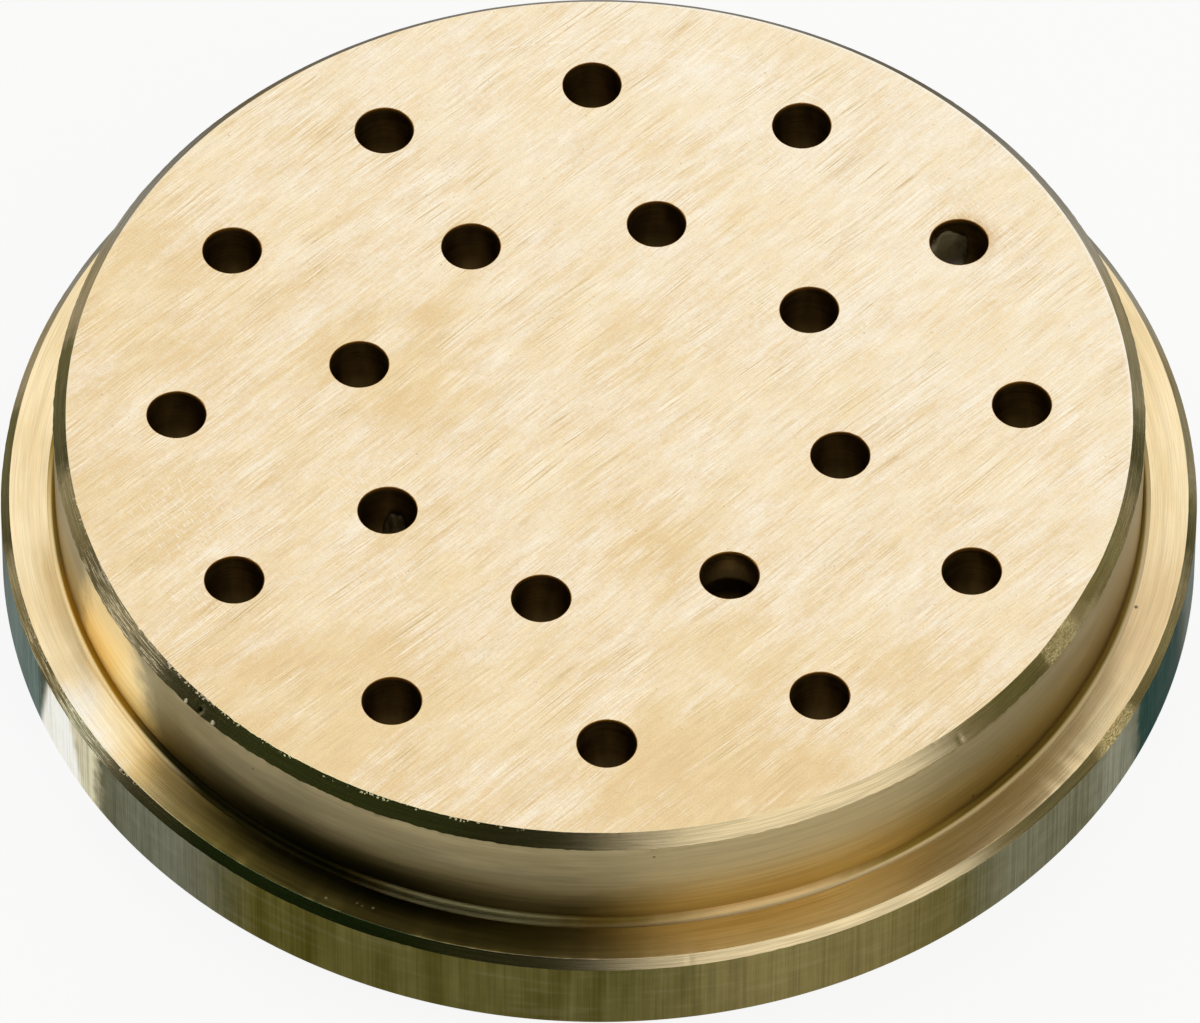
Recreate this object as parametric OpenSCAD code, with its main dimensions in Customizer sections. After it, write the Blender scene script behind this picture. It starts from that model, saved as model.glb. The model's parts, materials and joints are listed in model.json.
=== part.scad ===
// Pasta extrusion die: a flanged brass disc that shapes dough into thick round strands.
// It is turned from one bar and drilled right through with two rings of strand holes.
// Sizes are in millimetres. The inlet face lies on Z = 0 and the outlet face points to +Z.

/* [Flange] */
// Outside diameter of the flange, which sits in the mouth of the extruder's barrel
flange_d = 56.9; // [54:0.1:62]
// Thickness of the flange, from the inlet face to the shoulder
flange_h = 4.5; // [3:0.1:7]
// Width of the bevel around the flange's outer edge, on the shoulder's side
flange_bevel = 0.4; // [0.1:0.05:1]
// Width of the small edge break around the inlet face
inlet_edge_break = 0.15; // [0.05:0.05:0.4]

/* [Spigot] */
// Diameter of the raised spigot that passes through the clamp ring
spigot_d = 51.7; // [47:0.1:54]
// Height of the spigot, from the shoulder to the outlet face
spigot_h = 6; // [4:0.1:10]
// Width of the bevel around the outlet face
spigot_bevel = 0.6; // [0.2:0.05:1.2]
// Radius of the turning tool's fillet where the spigot meets the shoulder
root_r = 0.4; // [0.2:0.05:0.8]

/* [Strand holes] */
// Diameter of a strand hole at the outlet, which sets the strand's thickness
strand_d = 2.8; // [1.6:0.1:3.8]
// Length of the narrow land that ends at the outlet face
land_h = 5; // [3.8:0.1:7]
// Number of holes in the outer ring
outer_count = 12; // [6:1:15]
// Pitch circle of the outer ring
outer_pcd = 40; // [36:0.1:43]
// Number of holes in the inner ring
inner_count = 8; // [3:1:10]
// Pitch circle of the inner ring
inner_pcd = 23.4; // [18:0.1:26]
// Turn of the inner ring from the outer ring's first hole, in degrees
inner_turn = 30.5; // [0:0.5:45]

/* [Dough inlets] */
// Diameter of the wide bore that feeds dough into each strand hole from behind
inlet_d = 5; // [4:0.1:5.8]
// Full point angle of the drill that bored the inlets, in degrees
drill_point = 118; // [90:1:140]

/* [Hidden] */

$fn = 96;
brass = [0.87, 0.74, 0.50];

die_h = flange_h + spigot_h;
flange_r = flange_d / 2;
spigot_r = spigot_d / 2;
strand_r = strand_d / 2;
inlet_r = inlet_d / 2;
point_h = (inlet_r - strand_r) / tan(drill_point / 2);
inlet_h = die_h - land_h - point_h;
cut_past = 1;

// Half of the turned section: inlet face, rim, shoulder, spigot wall and outlet face
module turned_section() {
    polygon([
        [0, 0],
        [flange_r - inlet_edge_break, 0],
        [flange_r, inlet_edge_break],
        [flange_r, flange_h - flange_bevel],
        [flange_r - flange_bevel, flange_h],
        [spigot_r, flange_h],
        [spigot_r, die_h - spigot_bevel],
        [spigot_r - spigot_bevel, die_h],
        [0, die_h]
    ]);
    root_fillet_section();
}

// Concave corner that the tool's nose leaves between the shoulder and the spigot wall
module root_fillet_section() {
    translate([spigot_r, flange_h])
        difference() {
            translate([-root_r, -root_r]) square(2 * root_r);
            translate([root_r, root_r]) circle(r = root_r);
        }
}

// Stepped drill form of one hole: wide inlet, drill point, then the narrow land
module strand_drill() {
    rotate_extrude()
        polygon([
            [0, -cut_past],
            [inlet_r, -cut_past],
            [inlet_r, inlet_h],
            [strand_r, inlet_h + point_h],
            [strand_r, die_h + cut_past],
            [0, die_h + cut_past]
        ]);
}

// Equally spaced holes on one pitch circle
module hole_ring(pcd, count, turn) {
    for (i = [0 : count - 1])
        rotate([0, 0, turn + i * 360 / count])
            translate([pcd / 2, 0, 0])
                strand_drill();
}

module die_body() {
    color(brass)
        difference() {
            rotate_extrude() turned_section();
            hole_ring(outer_pcd, outer_count, 0);
            hole_ring(inner_pcd, inner_count, inner_turn);
        }
}

die_body();
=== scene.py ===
"""Looks of a brass pasta extrusion die: worn turned metal, a brushed face and crumbs of dried dough."""
import json
import math

import bmesh
import bpy
import numpy as np
from mathutils import Matrix, Vector, noise
from mathutils.geometry import delaunay_2d_cdt


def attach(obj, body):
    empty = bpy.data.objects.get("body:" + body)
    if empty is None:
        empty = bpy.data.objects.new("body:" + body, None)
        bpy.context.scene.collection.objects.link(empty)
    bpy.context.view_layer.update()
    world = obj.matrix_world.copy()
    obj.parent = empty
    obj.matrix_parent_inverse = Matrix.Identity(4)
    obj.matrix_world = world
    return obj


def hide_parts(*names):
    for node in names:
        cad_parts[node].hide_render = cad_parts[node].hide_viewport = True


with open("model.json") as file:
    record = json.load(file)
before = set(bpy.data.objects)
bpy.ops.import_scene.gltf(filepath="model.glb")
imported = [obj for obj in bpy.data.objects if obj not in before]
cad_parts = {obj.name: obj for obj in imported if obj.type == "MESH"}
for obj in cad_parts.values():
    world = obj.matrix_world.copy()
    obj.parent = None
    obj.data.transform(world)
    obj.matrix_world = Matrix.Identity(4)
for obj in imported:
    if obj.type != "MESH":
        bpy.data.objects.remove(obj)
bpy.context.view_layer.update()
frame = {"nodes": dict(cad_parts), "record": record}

MM = 0.001
mounts = {mount["name"]: mount for mount in frame["record"]["mounts"]}


def span(name):
    """Radius, lowest and highest point of a round mount, in metres."""
    mount = mounts[name]
    half = mount["dims"]["length_mm"] * MM / 2
    middle = mount["pos_m"][2]
    return mount["dims"]["r_mm"] * MM, middle - half, middle + half


# Sizes of the turned section, from the frame
FLANGE_R, RIM_LOW, RIM_HIGH = span("flange_rim")
SPIGOT_R, WALL_LOW, WALL_HIGH = span("spigot_wall")
STRAND_R, LAND_LOW, TOP_Z = span("strand_hole_outer_01")
SHOULDER_Z = mounts["clamp_shoulder"]["pos_m"][2]
LEDGE_R = FLANGE_R - (SHOULDER_Z - RIM_HIGH)
FACE_R = SPIGOT_R - (TOP_Z - WALL_HIGH)
ROOT_R = WALL_LOW - SHOULDER_Z
HOLES = {name: mount["pos_m"][:2] for name, mount in mounts.items() if name.startswith("strand_hole")}

# Fineness of the mesh and roundness of its edges
SEGMENTS = 1440
HOLE_SEGMENTS = 80
FILLET_STEPS = 8
MOUTH_STEPS = 4
CRUMB_FINENESS = 4
TURNED_EDGE = 0.007 * MM
HOLE_EDGE = 0.03 * MM
# Width of the strip beside an edge that has rows of its own
EDGE_STRIP = 0.8 * MM
# Distance from an edge of the row that holds the surface beyond the edge's wear
EDGE_HOLD = 0.13 * MM

# Direction of the brush strokes on the outlet face, from +X
BRUSH_ANGLE = math.radians(43.4)

# Places on the turned section where the bevels are knocked
BEVEL_LOW = (SPIGOT_R - 0.15 * MM, WALL_HIGH + 0.15 * MM)
BEVEL_HIGH = (FACE_R + 0.2 * MM, TOP_Z - 0.2 * MM)
FLANGE_BEVEL = ((LEDGE_R + FLANGE_R) / 2, (SHOULDER_Z + RIM_HIGH) / 2)
# Knocks: angle from +X in degrees, place on the section, reach and depth
KNOCKS = (
    (222.5, BEVEL_LOW, 0.26 * MM, 0.06 * MM),
    (221.2, BEVEL_HIGH, 0.16 * MM, 0.03 * MM),
    (224.9, BEVEL_LOW, 0.18 * MM, 0.03 * MM),
    (225.6, BEVEL_HIGH, 0.16 * MM, 0.02 * MM),
    (228.7, BEVEL_LOW, 0.16 * MM, 0.02 * MM),
    (310.0, BEVEL_LOW, 0.22 * MM, 0.02 * MM),
    (277.6, FLANGE_BEVEL, 0.22 * MM, 0.015 * MM),
)

# Stretches of the two bevels that a file has widened: middle and half width in degrees, and how much
FILED_SPIGOT = (330.4, 7.5, 0.05 * MM)
FILED_FLANGE = (328.2, 5.5, 0.04 * MM)
FILED_FADE = 4.0
# Stretch where burrs still stand along the outlet face's edge: middle, half width and fade in degrees
BURRED = (211.0, 30.0, 15.0)
# Share of that raggedness on the rest of the edge
UNBURRED = 0.25
# Lumps along each worn edge: size and seed of each noise
FACE_LUMPS = ((0.3 * MM, 1.5), (1.6 * MM, 4.5))
BURR_LUMPS = ((0.16 * MM, 2.5),)
WALL_LUMPS = ((0.3 * MM, 7.5), (2.2 * MM, 9.5))
LEDGE_LUMPS = ((0.4 * MM, 11.5), (3.0 * MM, 13.5))
RIM_LUMPS = ((0.4 * MM, 15.5), (2.5 * MM, 17.5))
# How deep each edge is worn
FACE_WEAR = 0.04 * MM
BURR_WEAR = 0.03 * MM
WALL_WEAR = 0.03 * MM
LEDGE_WEAR = 0.012 * MM
RIM_WEAR = 0.02 * MM
# How far from an edge its wear, its burrs and the file's cut reach
WEAR_REACH = 0.10 * MM
BURR_REACH = 0.08 * MM
SPIGOT_REACH = 0.5 * MM
FLANGE_REACH = 0.3 * MM

# Edge of a hole's mouth: size and first seed of its lumps, how ragged it is, and how far the brush drags it
MOUTH_LUMP = 0.3 * MM
MOUTH_SEED = 21.5
MOUTH_RAGGED = 0.2
MOUTH_DRAG = 0.6

# Ring in one hole where a drill stood still: depths of its two edges below the face, and its own depth
RINGED_HOLE = "strand_hole_inner_07"
RING_TOP, RING_LOW, RING_DEPTH = 1.85 * MM, 2.28 * MM, 0.07 * MM
RING_FLANK = 0.05 * MM

# Crumbs of dried dough: name, hole, angle in degrees, depth, half width, half height, thickness and seed
CRUMBS = (
    ("dough_crumb_01", "strand_hole_outer_02", 125, 2.3 * MM, 1.45 * MM, 1.7 * MM, 0.42 * MM, 3.5),
    ("dough_crumb_02", "strand_hole_inner_05", 72, 3.3 * MM, 0.6 * MM, 1.5 * MM, 0.4 * MM, 8.5),
)
# Lumps on a crumb: how high they stand, and how close they lie
CRUMB_LUMPS = ((0.25, 1.6), (0.08, 6.0))


def inlet_sizes():
    """Radius of the wide feed bores and the height that they reach, read from the CAD node."""
    points = np.array([vertex.co for vertex in frame["nodes"]["die_body"].data.vertices])
    x, y = HOLES["strand_hole_outer_01"]
    away = np.hypot(points[:, 0] - x, points[:, 1] - y)
    on_floor = points[:, 2] < TURNED_EDGE
    radius = away[on_floor].min()
    on_wall = np.abs(away - radius) < TURNED_EDGE
    return radius, points[on_wall, 2].max()


def circle_noise(radius, grain, seed, count=SEGMENTS):
    """Noise from -1 to 1 round a circle, with lumps about as long as grain."""
    reach = radius / grain
    steps = (2 * math.pi * i / count for i in range(count))
    return np.array([noise.noise(Vector((reach * math.cos(a), reach * math.sin(a), seed))) for a in steps])


def lumpy(radius, lumps):
    """Several noises round a circle, added together."""
    return sum(circle_noise(radius, size, seed) for size, seed in lumps)


def rounded(before, corner, after, zone, next_zone):
    """Five rows in place of a sharp corner of the turned section. The outer two hold its shading."""
    before, corner, after = Vector(before), Vector(corner), Vector(after)
    inward = (before - corner).normalized() * TURNED_EDGE
    onward = (after - corner).normalized() * TURNED_EDGE
    steps = (2 * inward, inward, (inward + onward) / 4, onward, 2 * onward)
    zones = (zone, zone, zone, zone, next_zone)
    return [(*(corner + step), at) for step, at in zip(steps, zones)]


def between(start, end, count, zone):
    """Rows spaced evenly between two points of the turned section, without its ends."""
    start, end = Vector(start), Vector(end)
    return [(*start.lerp(end, i / (count + 1)), zone) for i in range(1, count + 1)]


def turned_rows():
    """Rows of the turned section from the inlet face to the outlet face: radius, height and zone."""
    inlet_edge = (FLANGE_R - RIM_LOW, 0.0)
    rim_low, rim_high = (FLANGE_R, RIM_LOW), (FLANGE_R, RIM_HIGH)
    ledge, root = (LEDGE_R, SHOULDER_Z), (SPIGOT_R + ROOT_R, SHOULDER_Z)
    wall_low, wall_high = (SPIGOT_R, WALL_LOW), (SPIGOT_R, WALL_HIGH)
    wall_top = (SPIGOT_R, WALL_HIGH - EDGE_STRIP)
    face_edge = (FACE_R, TOP_Z)
    inlet_start, face_end = (FLANGE_R - EDGE_STRIP, 0.0), (FACE_R - EDGE_STRIP, TOP_Z)
    fillet = [
        (SPIGOT_R + ROOT_R * (1 - math.sin(turn)), SHOULDER_Z + ROOT_R * (1 - math.cos(turn)))
        for turn in (math.pi / 2 * i / FILLET_STEPS for i in range(FILLET_STEPS))
    ]
    return [
        (*inlet_start, "inlet_face"),
        *rounded(inlet_start, inlet_edge, rim_low, "inlet_face", "rim"),
        *rounded(inlet_edge, rim_low, rim_high, "rim", "rim"),
        (FLANGE_R, RIM_HIGH - EDGE_HOLD, "rim"),
        *rounded(rim_low, rim_high, ledge, "rim", "flange_bevel"),
        *between(rim_high, ledge, 1, "flange_bevel"),
        *rounded(rim_high, ledge, root, "flange_bevel", "shoulder"),
        (LEDGE_R - EDGE_HOLD, SHOULDER_Z, "shoulder"),
        *((*point, "root") for point in fillet),
        (*wall_low, "wall"),
        *between(wall_low, wall_top, 1, "wall"),
        (*wall_top, "wall"),
        *between(wall_top, wall_high, 2, "wall"),
        *rounded(wall_low, wall_high, face_edge, "wall", "bevel"),
        *between(wall_high, face_edge, 3, "bevel"),
        *rounded(wall_high, face_edge, face_end, "bevel", "face"),
        (FACE_R - EDGE_HOLD, TOP_Z, "face"),
        (*face_end, "face"),
    ]


def bore_rows(inlet_r, inlet_top):
    """Rows of one stepped hole from the outlet face down: radius, flare, ring's depth, height and zone."""
    mouth = []
    for i in range(MOUTH_STEPS + 1):
        turn = math.pi / 2 * i / MOUTH_STEPS
        flare = HOLE_EDGE * (1 - math.sin(turn))
        mouth.append((STRAND_R, flare, 0.0, TOP_Z - HOLE_EDGE * (1 - math.cos(turn)), "land"))
    ring_top, ring_low = TOP_Z - RING_TOP, TOP_Z - RING_LOW
    return [
        *mouth,
        (STRAND_R, 0.0, 0.0, ring_top, "land"),
        (STRAND_R, 0.0, RING_DEPTH, ring_top - RING_FLANK, "land"),
        (STRAND_R, 0.0, RING_DEPTH, ring_low + RING_FLANK, "land"),
        (STRAND_R, 0.0, 0.0, ring_low, "land"),
        (STRAND_R, 0.0, 0.0, LAND_LOW, "feed"),
        (inlet_r, 0.0, 0.0, inlet_top, "feed"),
        (inlet_r, 0.0, 0.0, HOLE_EDGE, "feed"),
        (inlet_r + HOLE_EDGE, 0.0, 0.0, 0.0, "feed"),
    ]


class MeshParts:
    """Collects vertices and faces with a zone and a shading for each face."""

    def __init__(self):
        self.points, self.faces, self.zones, self.smooth = [], [], [], []

    def grid(self, rings, zones):
        """Adds rings of points joined by quads. Returns the first and last rings' vertex numbers."""
        first, count = len(self.points), len(rings[0])
        for ring in rings:
            self.points.extend(map(tuple, ring))
        for row, zone in zip(range(len(rings) - 1), zones):
            low, high = first + row * count, first + (row + 1) * count
            for i in range(count):
                j = (i + 1) % count
                self.faces.append((low + i, low + j, high + j, high + i))
                self.zones.append(zone)
                self.smooth.append(True)
        last = first + (len(rings) - 1) * count
        return list(range(first, first + count)), list(range(last, last + count))

    def flat(self, outer, holes, zone, upward):
        """Fills the flat face between an outer loop and the loops of the holes, which run clockwise."""
        loops = [outer, *holes]
        numbers = [number for loop in loops for number in loop]
        owners = [owner for owner, loop in enumerate(loops) for _ in loop]
        corners = [Vector(self.points[number][:2]) for number in numbers]
        edges, start = [], 0
        for loop in loops:
            edges.extend((start + i, start + (i + 1) % len(loop)) for i in range(len(loop)))
            start += len(loop)
        inside_loops, tolerance = 1, 1e-9
        _, _, triangles, origins, _, _ = delaunay_2d_cdt(corners, edges, [], inside_loops, tolerance)
        for triangle in triangles:
            face = sorted(origins[i][0] for i in triangle)
            a, b, c = (corners[i] for i in face)
            turns_left = (b - a).cross(c - a) > 0
            on_one_hole = owners[face[0]] == owners[face[2]] > 0
            if on_one_hole and not turns_left:
                continue
            if turns_left != upward:
                face.reverse()
            self.faces.append(tuple(numbers[i] for i in face))
            self.zones.append(zone)
            self.smooth.append(False)

    def build(self, name, materials):
        """Makes the object, with one material slot for each zone."""
        mesh = bpy.data.meshes.new(name)
        mesh.from_pydata(self.points, [], self.faces)
        for material in materials.values():
            mesh.materials.append(material)
        order = list(materials)
        mesh.polygons.foreach_set("material_index", [order.index(zone) for zone in self.zones])
        mesh.polygons.foreach_set("use_smooth", self.smooth)
        mesh.update()
        piece = bpy.data.objects.new(name, mesh)
        bpy.context.scene.collection.objects.link(piece)
        return piece


def stretched(angles, middle, half, fade):
    """1 at the angles within a stretch, in degrees, falling to 0 over the fade at its ends."""
    off = np.abs((np.degrees(angles) - middle + 180) % 360 - 180)
    share = np.clip((half - off) / fade, 0, 1)
    return share * share * (3 - 2 * share)


def filed(angles, stretch):
    """How far a file has widened a bevel at each angle."""
    middle, half, amount = stretch
    return amount * stretched(angles, middle, half, FILED_FADE)


def edge_wear(angles):
    """Wear of each turned edge: corner, reach, direction on the section, and depth at each angle."""
    burred = UNBURRED + (1 - UNBURRED) * stretched(angles, *BURRED)
    face_rough, burrs = burred * lumpy(FACE_R, FACE_LUMPS), burred * lumpy(FACE_R, BURR_LUMPS)
    wall_rough = lumpy(SPIGOT_R, WALL_LUMPS)
    ledge_rough, rim_rough = lumpy(LEDGE_R, LEDGE_LUMPS), lumpy(FLANGE_R, RIM_LUMPS)
    spigot_file, flange_file = filed(angles, FILED_SPIGOT), filed(angles, FILED_FLANGE)
    face_edge, wall_edge = (FACE_R, TOP_Z), (SPIGOT_R, WALL_HIGH)
    ledge, rim_edge = (LEDGE_R, SHOULDER_Z), (FLANGE_R, RIM_HIGH)
    down_bevel, up_bevel, inward, down = (1, -1), (-1, 1), (-1, 0), (0, -1)
    return (
        (face_edge, WEAR_REACH, down_bevel, FACE_WEAR * face_rough.clip(0)),
        (face_edge, BURR_REACH, down, BURR_WEAR * burrs.clip(0)),
        (face_edge, SPIGOT_REACH, inward, spigot_file),
        (wall_edge, WEAR_REACH, up_bevel, WALL_WEAR * wall_rough),
        (wall_edge, SPIGOT_REACH, down, spigot_file),
        (ledge, WEAR_REACH, down_bevel, LEDGE_WEAR * ledge_rough.clip(0)),
        (ledge, FLANGE_REACH, inward, flange_file),
        (rim_edge, WEAR_REACH, up_bevel, RIM_WEAR * rim_rough.clip(0)),
        (rim_edge, FLANGE_REACH, down, flange_file),
    )


def worn_rings(rows):
    """Points of the turned rows, with ragged bevel edges, filed stretches and knocks."""
    angles = np.arange(SEGMENTS) * 2 * math.pi / SEGMENTS
    wear = edge_wear(angles)
    rings = []
    for radius, height, _ in rows:
        ring_r, ring_z = np.full(SEGMENTS, radius), np.full(SEGMENTS, height)
        for corner, reach, (outward, upward), depth in wear:
            share = max(0.0, 1 - math.dist((radius, height), corner) / reach)
            ring_r += share * outward * depth
            ring_z += share * upward * depth
        rings.append(np.stack([ring_r * np.cos(angles), ring_r * np.sin(angles), ring_z], 1))
    rings = np.array(rings)
    for angle, (radius, height), reach, depth in KNOCKS:
        outward = np.array([math.cos(math.radians(angle)), math.sin(math.radians(angle)), 0])
        middle = outward * radius + np.array([0, 0, height])
        away = np.linalg.norm(rings - middle, axis=2)
        push = depth * np.clip(1 - (away / reach) ** 2, 0, None) ** 2
        rings -= push[:, :, None] * (outward + np.array([0, 0, 1])) / math.sqrt(2)
    return rings


def bore_rings(rows, name, number):
    """Points of one hole, whose outlet edge is dragged out where the brush leaves the hole."""
    angles = -np.arange(HOLE_SEGMENTS) * 2 * math.pi / HOLE_SEGMENTS
    grain = circle_noise(STRAND_R, MOUTH_LUMP, MOUTH_SEED + number, HOLE_SEGMENTS)
    trailing = np.cos(angles - BRUSH_ANGLE).clip(0) ** 2
    drag = 1 + MOUTH_RAGGED * grain + MOUTH_DRAG * trailing * (1 + grain)
    rings = []
    for radius, flare, ring_depth, height, _ in rows:
        ring_r = radius + flare * drag + (ring_depth if name == RINGED_HOLE else 0.0)
        x = HOLES[name][0] + ring_r * np.cos(angles)
        y = HOLES[name][1] + ring_r * np.sin(angles)
        rings.append(np.stack([x, y, np.full(HOLE_SEGMENTS, height)], 1))
    return rings


def finished_die(materials):
    """The die's whole surface as one closed mesh."""
    parts = MeshParts()
    rows = turned_rows()
    inlet_ring, face_ring = parts.grid(worn_rings(rows), [zone for _, _, zone in rows])
    hole_rows = bore_rows(*inlet_sizes())
    hole_zones = [zone for *_, zone in hole_rows]
    mouths, inlets = [], []
    for number, name in enumerate(HOLES):
        mouth, inlet = parts.grid(bore_rings(hole_rows, name, number), hole_zones)
        mouths.append(mouth)
        inlets.append(inlet)
    parts.flat(face_ring, mouths, "face", True)
    parts.flat(inlet_ring, inlets, "inlet_face", False)
    return parts.build("die_finished", materials)


def dough_crumb(name, hole, angle, depth, half_width, half_height, thickness, seed, material):
    """A dried lump of dough on the wall of a hole."""
    shape = bmesh.new()
    bmesh.ops.create_icosphere(shape, subdivisions=CRUMB_FINENESS, radius=1.0)
    centre, shift = HOLES[hole], Vector((seed, seed, seed))
    for vertex in shape.verts:
        lump = sum((rise * noise.noise(pitch * vertex.co + shift) for rise, pitch in CRUMB_LUMPS), 1.0)
        across, up, inward = vertex.co * lump
        turn = math.radians(angle) + across * half_width / STRAND_R
        reach = STRAND_R - max(inward, 0.0) * thickness
        x, y = centre[0] + reach * math.cos(turn), centre[1] + reach * math.sin(turn)
        vertex.co = (x, y, TOP_Z - depth + up * half_height)
    bmesh.ops.recalc_face_normals(shape, faces=shape.faces)
    mesh = bpy.data.meshes.new(name)
    shape.to_mesh(mesh)
    shape.free()
    mesh.shade_smooth()
    mesh.materials.append(material)
    crumb = bpy.data.objects.new(name, mesh)
    bpy.context.scene.collection.objects.link(crumb)
    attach(crumb, "root")


class Nodes:
    """Adds shader nodes to one tree. An input is a plain value or another node's output."""

    def __init__(self, tree):
        self.tree = tree
        tree.nodes.clear()

    def add(self, kind, inputs=(), **settings):
        node = self.tree.nodes.new("ShaderNode" + kind)
        for key, value in settings.items():
            setattr(node, key, value)
        for key, value in dict(inputs).items():
            if isinstance(value, bpy.types.NodeSocket):
                self.tree.links.new(value, node.inputs[key])
            else:
                node.inputs[key].default_value = value
        return node

    def math(self, operation, a, b=0.0, c=0.0):
        return self.add("Math", {0: a, 1: b, 2: c}, operation=operation).outputs[0]

    def times(self, a, b):
        return self.math("MULTIPLY", a, b)

    def dot(self, a, b):
        return self.add("VectorMath", {0: a, 1: b}, operation="DOT_PRODUCT").outputs["Value"]

    def vector(self, operation, a, b=(0.0, 0.0, 0.0)):
        return self.add("VectorMath", {0: a, 1: b}, operation=operation).outputs["Vector"]

    def scaled(self, vector, factor):
        return self.add("VectorMath", {0: vector, "Scale": factor}, operation="SCALE").outputs["Vector"]

    def join(self, x, y, z):
        return self.add("CombineXYZ", {0: x, 1: y, 2: z}).outputs[0]

    def ramp(self, value, low, high, start=0.0, end=1.0):
        inputs = {"Value": value, "From Min": low, "From Max": high, "To Min": start, "To Max": end}
        return self.add("MapRange", inputs, interpolation_type="SMOOTHSTEP").outputs[0]

    def band(self, value, low, high, soft_low, soft_high):
        rise = self.ramp(value, low - soft_low, low + soft_low)
        fall = self.ramp(value, high + soft_high, high - soft_high)
        return self.times(rise, fall)

    def noise(self, vector, scale=1.0, detail=2.0):
        inputs = {"Vector": vector, "Scale": scale, "Detail": detail}
        return self.add("TexNoise", inputs).outputs["Fac"]

    def mix(self, factor, a, b):
        return self.add("Mix", {0: factor, 6: a, 7: b}, data_type="RGBA").outputs[2]


class Finish(Nodes):
    """One surface finish, with the object's place in millimetres and ways to lay marks on it."""

    def __init__(self, name):
        self.material = bpy.data.materials.new(name)
        self.material.use_nodes = True
        super().__init__(self.material.node_tree)
        self.place = self.scaled(self.add("TexCoord").outputs["Object"], 1 / MM)
        flat_place = self.vector("MULTIPLY", self.place, (1.0, 1.0, 0.0))
        self.unit = self.vector("NORMALIZE", flat_place)
        self.radius = self.add("VectorMath", {0: flat_place}, operation="LENGTH").outputs["Value"]
        self.height = self.dot(self.place, (0.0, 0.0, 1.0))

    def rings(self, width, turns, seed, detail):
        """Lines that run round the axis, about width wide, that change turns times in a radian."""
        profile = self.math("DIVIDE", self.math("SUBTRACT", self.radius, self.height), width)
        swept = self.vector("MULTIPLY", self.unit, (turns, turns, 0.0))
        lift = self.join(seed, seed, profile)
        return self.noise(self.vector("ADD", swept, lift), detail=detail)

    def streaks(self, turn, length, width, seed, detail):
        """Straight strokes on the outlet face, turned from the direction of the brushing."""
        angle = BRUSH_ANGLE + turn
        along = self.dot(self.place, (math.cos(angle) / length, math.sin(angle) / length, 0.0))
        across = self.dot(self.place, (-math.sin(angle) / width, math.cos(angle) / width, 0.0))
        return self.noise(self.join(along, across, seed), detail=detail)

    def blotches(self, size, seed, detail):
        """Lumps about as wide as size in all directions."""
        moved = self.vector("ADD", self.place, (seed, seed, seed))
        return self.noise(moved, scale=1 / size, detail=detail)

    def drawn_out(self, x, y, z):
        """Lumps drawn out one way, with so many to a millimetre along each axis."""
        return self.noise(self.vector("MULTIPLY", self.place, (x, y, z)))

    def sector(self, middle, half, soft, shift=0.0):
        """1 within an angle of a direction, in degrees, and 0 outside. The shift moves the ends."""
        turn = math.radians(middle)
        facing = self.dot(self.unit, (math.cos(turn), math.sin(turn), 0.0))
        off = self.math("MULTIPLY_ADD", self.math("ARCCOSINE", facing), math.degrees(1), shift)
        return self.ramp(off, half + soft, half - soft)

    def patched(self, base, patches, ragged, lean=0.0):
        """Lays patches of colour on the base, each at an angle, with ragged or leaning ends."""
        shift = self.ramp(self.blotches(*PATCH_ENDS), 0.25, 0.75, -ragged, ragged)
        risen = self.math("SUBTRACT", self.height, SHOULDER_Z / MM)
        shift = self.math("MULTIPLY_ADD", risen, lean, shift)
        for middle, half, soft, tint in patches:
            base = self.mix(self.sector(middle, half, soft, shift), base, colour(*tint))
        return base

    def spots(self, places):
        """Soft round spots: place and radius in millimetres, and strength."""
        mask = 0.0
        for *middle, radius, strength in places:
            node = self.add("VectorMath", {0: self.place, 1: middle}, operation="DISTANCE")
            spot = self.ramp(node.outputs["Value"], radius, SPOT_CORE * radius, 0.0, strength)
            mask = self.math("MAXIMUM", mask, spot)
        return mask

    def face_spots(self, places):
        """Spots on the outlet face, from their place on it."""
        return self.spots([(x, y, TOP_Z / MM, *mark) for x, y, *mark in places])

    def sum(self, *terms):
        """Sum of sockets, each with a weight."""
        total = 0.0
        for socket, weight in terms:
            total = self.math("MULTIPLY_ADD", socket, weight, total)
        return total

    def bumped(self, height, depth):
        """Normal of a surface whose height runs from 0 to depth, in millimetres."""
        return self.add("Bump", {"Height": height, "Distance": depth * MM}).outputs["Normal"]

    def glance(self, near, away):
        """How much shows at a glancing angle, in grey, for the near side and for the far side, where it is
        lowered as painted shade.
        """
        return self.mix(self.sector(*FAR_SIDE_SHADED), grey(near), grey(away))

    def metal(self, base, roughness, normal, grazing, anisotropy=0.0, across=True):
        """Bare metal. Its gloss is drawn out across lines that run round the axis, or else along them."""
        inputs = {"Base Color": base, "Metallic": 1.0, "Roughness": roughness, "Normal": normal}
        inputs["Specular Tint"] = grazing
        if anisotropy:
            inputs["Anisotropic"] = anisotropy
            inputs["Anisotropic Rotation"] = QUARTER_TURN if across else 0.0
            inputs["Tangent"] = self.add("Tangent", direction_type="RADIAL", axis="Z").outputs[0]
        return self.surface(inputs)

    def surface(self, inputs):
        """Ends the material with its one shader."""
        shader = self.add("BsdfPrincipled", inputs)
        self.add("OutputMaterial", {"Surface": shader.outputs[0]})
        return self.material


def colour(red, green, blue):
    return red, green, blue, 1.0


def grey(value):
    return colour(value, value, value)


# Far side, where less shows at a glancing angle as painted shade: middle, half width and softness in
# degrees
FAR_SIDE_SHADED = (90.0, 96.0, 8.0)
# Share that shows at a glancing angle on the near and the far side, and how far the gloss is drawn out
TURNED_GLANCE, TURNED_GLOSS = (0.8, 0.35), 0.7
BEVEL_GLANCE, BEVEL_GLOSS = (0.4, 0.2), 0.5
RIM_GLANCE, RIM_GLOSS = (0.3, 0.12), 0.4
HOLE_GLANCE = 0.5
QUARTER_TURN = 0.25
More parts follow.
